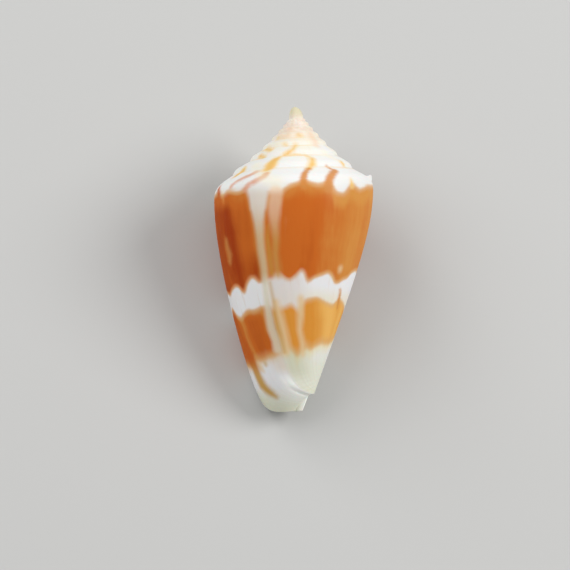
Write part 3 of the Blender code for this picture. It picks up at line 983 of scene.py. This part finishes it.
class Shader:
    """A material made of nodes."""

    def __init__(self, name):
        self.material = bpy.data.materials.new(name)
        self.material.use_nodes = True
        self.tree = self.material.node_tree
        self.tree.nodes.clear()

    def add(self, kind, settings, inputs, output=0):
        """One node of this type, with its settings, then the values or links of its sockets."""
        node = self.tree.nodes.new(kind)
        for name, setting in settings.items():
            setattr(node, name, setting)
        for name, value in inputs.items():
            if isinstance(value, Value):
                self.tree.links.new(value.socket, node.inputs[name])
            else:
                node.inputs[name].default_value = value
        return Value(self, node.outputs[output]) if node.outputs else None

    def parts(self, name):
        """The three numbers of a vector kept at the mesh's corners."""
        vector = self.add("ShaderNodeAttribute", {"attribute_name": name}, {}, "Vector")
        first = self.add("ShaderNodeSeparateXYZ", {}, {0: vector})
        return [Value(self, output) for output in first.socket.node.outputs]

    def rise(self, value, low, high, to_low=0.0, to_high=1.0):
        """Goes smoothly from one number to another as value passes from low to high."""
        inputs = {0: value, 1: low, 2: high, 3: to_low, 4: to_high}
        return self.add("ShaderNodeMapRange", {"interpolation_type": "SMOOTHSTEP"}, inputs)

    def between(self, value, start, full, fading, end):
        """Rises smoothly from 0 at start to 1 at full, and falls again from fading to end."""
        return self.rise(value, start, full) * self.rise(value, end, fading)

    def ramp(self, value, low, high):
        """Goes evenly from 0 to 1 as value passes from low to high."""
        return self.add("ShaderNodeMapRange", {"interpolation_type": "LINEAR"}, {0: value, 1: low, 2: high})

    def held_sum(self, *values):
        """The sum, held between 0 and 1."""
        inputs = dict(enumerate(values))
        return self.add("ShaderNodeMath", {"operation": "ADD", "use_clamp": True}, inputs)

    def noise(self, x, y, z, detail=2.0):
        """Noise between 0 and 1 with a cell of one unit."""
        vector = self.add("ShaderNodeCombineXYZ", {}, {0: x, 1: y, 2: z})
        inputs = {"Vector": vector, "Scale": 1.0, "Detail": detail, "Roughness": 0.5}
        return self.add("ShaderNodeTexNoise", {"noise_dimensions": "3D"}, inputs)

    def paint(self, colour, *coats):
        """The colour under coats of (factor, colour), each of which covers what is under it by its factor."""
        for factor, over in coats:
            inputs = {"Factor": factor, 6: self.as_colour(colour), 7: self.as_colour(over)}
            colour = self.add("ShaderNodeMix", {"data_type": "RGBA"}, inputs, 2)
        return colour

    @staticmethod
    def as_colour(value):
        return value if isinstance(value, Value) else (*value, 1.0)

    def surface(self, inputs):
        """The finished material, whose surface has these inputs."""
        skin = self.add("ShaderNodeBsdfPrincipled", {}, inputs)
        self.add("ShaderNodeOutputMaterial", {}, {"Surface": skin})
        return self.material


def swing(noise, size):
    """Noise that swings round 0, by half its size each way."""
    return (noise - 0.5) * size


def numbers_here(shader):
    """What the mesh keeps at its corners, the turns since the old lip, and noises along the growth lines."""
    read = {}
    for name, parts in VECTORS.items():
        read.update(zip(parts, shader.parts(name)))
    here = SimpleNamespace(**read)
    here.since = here.grown - REST_TURN
    here.old = shader.rise(here.since, 0.015, -0.02)
    here.streaks = shader.noise(here.grown * 26.0, here.depth * 0.10, here.along * 0.3, 3.0)
    here.fine_streaks = shader.noise(here.grown * 95.0, here.depth * 0.22, 0.0)
    here.clouds = shader.noise(here.grown * 9.0, here.depth * 0.35, 3.0)
    here.patches = shader.noise(here.turn * 8.0, here.depth * 1.6, 5.0)
    here.threads = shader.noise(here.grown * 3.0, here.depth * 7.0, 1.0)
    specks = shader.noise(here.turn * 60.0, here.depth * 3.0, here.along * 4.0, 3.0)
    here.ragged = swing(here.fine_streaks, 0.4) + swing(here.streaks, 0.6)
    here.mottled = here.ragged + swing(specks, 0.8)
    here.wisps = swing(here.streaks, 0.8) + swing(here.fine_streaks, 0.3)
    return here


def plain_ground(shader, look, here):
    """White, with tip, peach and ivory up the spire, cool in the middle, and cream again at the base."""
    rise, between = shader.rise, shader.between
    base = rise(here.depth, 35.0, 39.0) * here.old
    front_end = rise(here.depth, 41.0, 43.5) * rise(here.grown, -0.10, 0.06, 0.52, 1.0)
    old_foot = between(here.under_foot, -0.8, 0.2, 0.2, 2.6) * here.old
    new_foot = between(here.under_foot, -1.0, 0.0, 0.0, 1.9) * (1.0 - here.old)
    above_band = between(here.depth, 26.8, 29.3, 33.0, 36.0) * here.old
    cloudy = rise(here.depth, 10.0, 5.0) * rise(here.clouds, 0.3, 0.65)
    rosy = rise(here.patches, 0.35, 0.65) * 0.6 + 0.3
    fringe = rise(here.upper + here.lower, 0.0, 0.35) * rise(here.depth, 15.0, 22.0, 0.45, 0.65)
    return shader.paint(
        look.white,
        (rise(here.depth, 20.0, 27.0), look.cool_white),
        (shader.held_sum(base * 0.8, front_end), look.cream),
        (old_foot * 0.75, look.yellow),
        (above_band * 0.40, look.yellow),
        (cloudy * 0.6, look.ivory),
        (rise(here.depth, 6.4, 3.4) * rosy, look.peach),
        (rise(here.depth, 1.9, 0.7), look.tip),
        (new_foot * 0.75, look.tan_white),
        (fringe, look.tan_white),
        (rise(here.upper, 0.0, 0.6) * 0.60 + rise(here.lower, 0.0, 0.6) * 0.65, look.tan),
    )


def old_lip_ground(shader, look, here, ground):
    """The ground with its growth on both sides of the old lip, with painted light on the new growth under the
    ledge at the base and painted shade on the old growth above it, and with worn growth lines.
    """
    rise, between = shader.rise, shader.between
    resting = between(here.since, -0.13, -0.06, -0.01, 0.01) * between(here.depth, 22.0, 25.0, 32.0, 35.0)
    beside = rise(here.since, 0.075, 0.01) * between(here.depth, 36.2, 37.4, 38.6, 40.4)
    # Painted light on the new growth under the ledge, where the tucked surface lies in shade
    ledge = between(here.since, -0.004, 0.004, 0.025, 0.065) * rise(here.depth, 39.6, 41.2)
    # Painted shade on the old growth in the groove above the ledge
    ledge_groove_shade = rise(here.since, -0.125, -0.035) * between(here.depth, 34.6, 36.6, 39.0, 41.4)
    worn = rise(here.fine_streaks, 0.60, 0.78) * rise(here.depth, 16.0, 24.0)
    return shader.paint(
        ground,
        (resting * 0.8, look.rose_white),
        (beside * (1.0 - here.old) * 0.45, look.beige),
        (ledge * 0.85, look.ledge_light_white),
        (ledge_groove_shade * here.old * 0.5, look.shaded_cream),
        (worn * 0.25, look.beige),
    )


def band_colour(shader, look, here):
    """Orange, darker and lighter along the growth lines, and amber where the lower band is old."""
    rise = shader.rise
    shade = here.tone * rise(here.depth, 27.0, 29.0, 1.0, 0.5)
    shade = shade + swing(here.streaks, 0.6) + swing(here.fine_streaks, 0.35) + swing(here.clouds, 0.3)
    shade = shade - rise(here.deep, -2.2, 0.8) * 0.42 + rise(here.light, -1.3, 0.7) * 0.95
    shade = shade + rise(here.under_top, 3.0, 0.3) * rise(here.depth, 18.0, 15.5) * 0.6
    shade = shade + rise(here.upper + here.lower, 0.95, 0.35) * 0.8
    amber = here.old * rise(here.depth, 27.0, 29.0)
    return shader.paint(
        look.orange,
        (rise(shade, 0.0, -1.0), look.red),
        (rise(shade, 0.0, 1.0), look.tan),
        (amber * 0.66, look.amber),
        (amber * rise(here.light + here.ragged, -2.4, 1.0) * 0.65, look.light_amber),
    )


def pale_growth(shader, look, here, painted, banded):
    """The pale streak of old growth over the bands, with its tan border, and half faded growth beside it."""
    rise = shader.rise
    half_faded = shader.paint(
        look.white,
        (rise(here.depth, 12.0, 13.3), look.pale_peach),
        (rise(here.depth, 12.8, 14.4), look.cream_pink),
        (rise(here.depth, 15.5, 21.5), look.faded_orange),
        (rise(here.depth, 25.0, 28.0), look.tan_white),
    )
    faded = shader.paint(
        look.white,
        (rise(here.depth, 11.8, 14.5), look.pink_white),
        (rise(here.depth, 14.5, 20.5), look.beige),
        (rise(here.depth, 25.0, 27.5), look.warm_white),
        (rise(here.depth, 28.5, 31.5) * 0.50, look.beige),
    )
    wispy = here.pale + here.wisps * 0.6
    border = rise(wispy, -0.90, -0.10) * rise(banded, 0.5, 1.0) * rise(here.depth, 35.5, 33.0)
    return shader.paint(
        painted,
        (rise(here.tan + here.wisps, -0.65, 0.45) * rise(here.depth, 13.2, 16.0, 0.97, 0.85), half_faded),
        (border * 0.5, look.tan),
        (rise(wispy, -0.50, 0.40) * 0.92, faded),
    )


def marks(shader, look, here, painted):
    """Marks on the ramp, the spire and the side, and an ochre tint along the sutures between the whorls,
    partly their own colour and partly painted shade in the seams.
    """
    rise, ragged, mottled = shader.rise, here.ragged, here.mottled
    ochre = shader.paint(look.light_ochre, (rise(here.ochre, -0.15, 0.65), look.ochre))
    browned = shader.paint(look.red_brown, (rise(here.depth, 37.0, 40.5), look.brown))
    # Ochre along the sutures: partly the shell's own colour, partly painted shade in the seam between the
    # whorls
    suture_shade = rise(here.along, 0.30, 0.0) * rise(here.depth, 2.5, 7.0) * rise(here.clouds, 0.3, 0.65)
    return shader.paint(
        painted,
        (rise(here.ochre + mottled * 0.6, -0.60, 0.40) * rise(here.depth, 4.0, 8.5, 0.60, 0.90), ochre),
        (rise(here.rose + mottled * 0.5, -0.50, 0.35) * 0.88, look.rose),
        (rise(here.red + mottled * 0.4, -0.45, 0.35) * 0.93, look.flame),
        (rise(here.brown + ragged * 0.4, -0.45, 0.30) * 0.55, look.brown),
        (rise(here.streak + ragged * 0.4, -0.95, 0.30) * 0.94, browned),
        (rise(here.blush + mottled * 0.5, -0.70, 0.50) * 0.55, look.blush),
        (rise(here.ivory + mottled * 0.5, -1.00, 0.60) * 0.4, look.ivory),
        (rise(here.spot, -0.60, 0.40) * 0.80, look.tan_white),
        (rise(here.scar + mottled * 0.4, -0.80, 0.35) * 0.27, look.light_amber),
        (suture_shade * 0.32, look.ochre),
    )


def shell_material(look):
    """Banded, flamed and glossy shell, glazed inside, where the bands show through faintly."""
    shader = Shader("cone_shell_glaze")
    here = numbers_here(shader)
    ground = old_lip_ground(shader, look, here, plain_ground(shader, look, here))
    band = band_colour(shader, look, here)
    ragged = here.ragged * EDGE_NOISE
    upper, lower = (shader.ramp(cover + ragged, *EDGE_COVER) for cover in (here.upper, here.lower))
    painted = shader.paint(ground, (upper, band), (lower, band))
    painted = pale_growth(shader, look, here, painted, upper + lower)
    painted = marks(shader, look, here, painted)
    glazed = here.inside * (shader.rise(here.clouds, 0.3, 0.7) * 0.2 + 0.72)
    lines = swing(here.fine_streaks, 0.6) + swing(here.streaks, 0.4) + here.threads * 0.35
    relief_inputs = {"Strength": BUMP_STRENGTH, "Distance": BUMP_HEIGHT, "Height": lines}
    duller = shader.rise(here.depth, 9.0, 3.0) * DULLER_SPIRE
    return shader.surface({
        "Base Color": shader.paint(painted, (glazed, look.inside)),
        "Roughness": look.roughness + swing(here.clouds, 0.10) + duller,
        "Normal": shader.add("ShaderNodeBump", {}, relief_inputs),
        "Coat Weight": look.glaze,
        "Coat Roughness": look.glaze_roughness,
        "Subsurface Weight": TRANSLUCENCY,
        "Subsurface Scale": TRANSLUCENT_DEPTH,
        "Specular IOR Level": 0.0,
    })


def floor_material(look):
    return Shader("plain_floor").surface(
        {"Base Color": (*look.floor_colour, 1.0), "Roughness": FLOOR_ROUGHNESS}
    )


def link(thing):
    bpy.context.scene.collection.objects.link(thing)
    return thing


def area_light(name, place, size, power):
    lamp = bpy.data.lights.new(name, "AREA")
    lamp.shape = "DISK"
    lamp.size = size
    lamp.energy = power
    light = link(bpy.data.objects.new(name, lamp))
    light.location = place
    light.rotation_euler = (Vector(AIM) - light.location).to_track_quat("-Z", "Y").to_euler()
    light.visible_camera = False


def settle(mesh):
    """Lays the mesh on its underside, in the middle of the CAD model's box. Gives where its apex is then."""
    mesh.transform(lying())
    points = np.empty(len(mesh.vertices) * 3)
    mesh.vertices.foreach_get("co", points)
    points = points.reshape(-1, 3)
    low, high = points.min(axis=0), points.max(axis=0)
    cad_low, cad_high = (np.array(corner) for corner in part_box(NODE))
    moved = 0.5 * (cad_low + cad_high) - 0.5 * (low + high)
    moved[2] = cad_low[2] - low[2]
    mesh.transform(Matrix.Translation(moved))
    return moved.tolist()


class SHELL_OT_build(bpy.types.Operator):
    """Builds the shell with its relief, markings and gloss"""

    bl_idname = "cone_shell.build"
    bl_label = "Build Shell"

    def execute(self, context):
        look = context.scene.shell_look
        mesh = shell_mesh(look)
        context.scene["shell_apex"] = settle(mesh)
        mesh.materials.append(shell_material(look))
        shell = link(bpy.data.objects.new("shell_surface", mesh))
        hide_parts(NODE)
        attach(shell, BODY)
        return {"FINISHED"}


class STUDIO_OT_build(bpy.types.Operator):
    """Builds the plain floor, the soft lights and the camera over the shell"""

    bl_idname = "cone_shell.studio"
    bl_label = "Build Studio"

    def execute(self, context):
        scene = context.scene
        look = scene.studio_look
        bpy.ops.mesh.primitive_circle_add(
            vertices=FLOOR_SIDES, radius=FLOOR_RADIUS, fill_type="NGON", location=(0.0, 0.0, 0.0)
        )
        floor = context.object
        floor.name = "floor"
        floor.data.materials.append(floor_material(look))
        floor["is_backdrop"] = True

        for name, (place, size) in LIGHTS.items():
            area_light(f"{name}_light", place, size, getattr(look, f"{name}_power"))
        world = bpy.data.worlds.new("surround")
        world.use_nodes = True
        surround = world.node_tree.nodes["Background"]
        surround.inputs["Color"].default_value = (1.0, 1.0, 1.0, 1.0)
        surround.inputs["Strength"].default_value = look.sky
        scene.world = world
        scene.view_settings.view_transform = "Standard"

        right, up, towards = (lying().to_3x3() @ Vector(axis) for axis in seen_axes())
        across, down = (value * MM for value in PICTURE_MIDDLE)
        target = Vector(scene["shell_apex"]) + across * right - down * up
        lens = bpy.data.cameras.new("camera")
        lens.sensor_width = SENSOR
        lens.lens = SENSOR * CAMERA_DISTANCE / PICTURE_WIDTH
        lens.clip_start = CLIP_START
        camera = link(bpy.data.objects.new("camera", lens))
        turned = Matrix((right, up, towards)).transposed().to_4x4()
        camera.matrix_world = Matrix.Translation(target + CAMERA_DISTANCE * towards) @ turned
        scene.camera = camera
        return {"FINISHED"}


class SHELL_PT_panel(bpy.types.Panel):
    """Lists the steps and the sizes and colours that they use"""

    bl_idname = "SHELL_PT_panel"
    bl_label = "Cone Shell"
    bl_space_type = "VIEW_3D"
    bl_region_type = "UI"
    bl_category = "Shell"

    def draw(self, context):
        layout = self.layout
        for operator, look in (
            (SHELL_OT_build, context.scene.shell_look),
            (STUDIO_OT_build, context.scene.studio_look),
        ):
            box = layout.box()
            box.operator(operator.bl_idname)
            for name in look.__annotations__:
                box.prop(look, name)


CLASSES = (ShellLook, StudioLook, SHELL_OT_build, STUDIO_OT_build, SHELL_PT_panel)


def register():
    for item in CLASSES:
        bpy.utils.register_class(item)
    bpy.types.Scene.shell_look = PointerProperty(type=ShellLook)
    bpy.types.Scene.studio_look = PointerProperty(type=StudioLook)


def unregister():
    del bpy.types.Scene.studio_look
    del bpy.types.Scene.shell_look
    for item in reversed(CLASSES):
        bpy.utils.unregister_class(item)


def corners(bounds):
    return [[float(value) for value in corner] for corner in bounds]


def main():
    register()
    bpy.ops.cone_shell.build()
    bpy.ops.cone_shell.studio()
    sizes = {"cad": corners(CAD_BOX), "visual": corners(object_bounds())}


if __name__ == "__main__":
    main()
